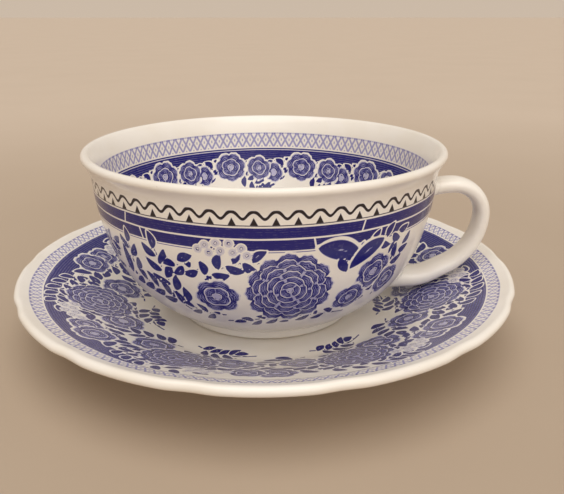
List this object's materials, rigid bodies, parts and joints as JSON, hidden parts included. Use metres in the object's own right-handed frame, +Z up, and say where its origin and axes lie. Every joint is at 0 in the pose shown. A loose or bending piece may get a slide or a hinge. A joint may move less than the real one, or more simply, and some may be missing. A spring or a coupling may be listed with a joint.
{
  "type": "teacup and saucer",
  "caption": "Wide handled teacup with an everted lip, standing on its matching saucer with a gently lobed edge; the cup lifts off.",
  "frame": {"origin": "centre of the saucer's foot plane", "axes": "+Z up along the axis of the cup and the saucer, +X towards the cup's handle"},
  "size_m": [0.1498, 0.15, 0.0573],
  "materials": {
    "cup_glaze": "glossy cream glaze over a blue transfer print",
    "saucer_glaze": "glossy cream glaze over a blue transfer print",
    "handle_glaze": "plain glossy cream glaze",
    "foot_glaze": "glossy cream glaze with a dry unglazed standing face"
  },
  "bodies": {
    "saucer": {"saucer_plate": "saucer_glaze", "saucer_foot_ring": "foot_glaze"},
    "cup": {"cup_bowl": "cup_glaze", "cup_foot_ring": "foot_glaze", "cup_handle": "handle_glaze", "handle_upper_slip_joint": "handle_glaze", "handle_lower_slip_joint": "handle_glaze"}
  },
  "joints": [
    {"name": "cup_lift", "type": "slide", "parent": "saucer", "child": "cup", "axis": [0, 0, 1], "range_m": [0, 0.1]}
  ]
}
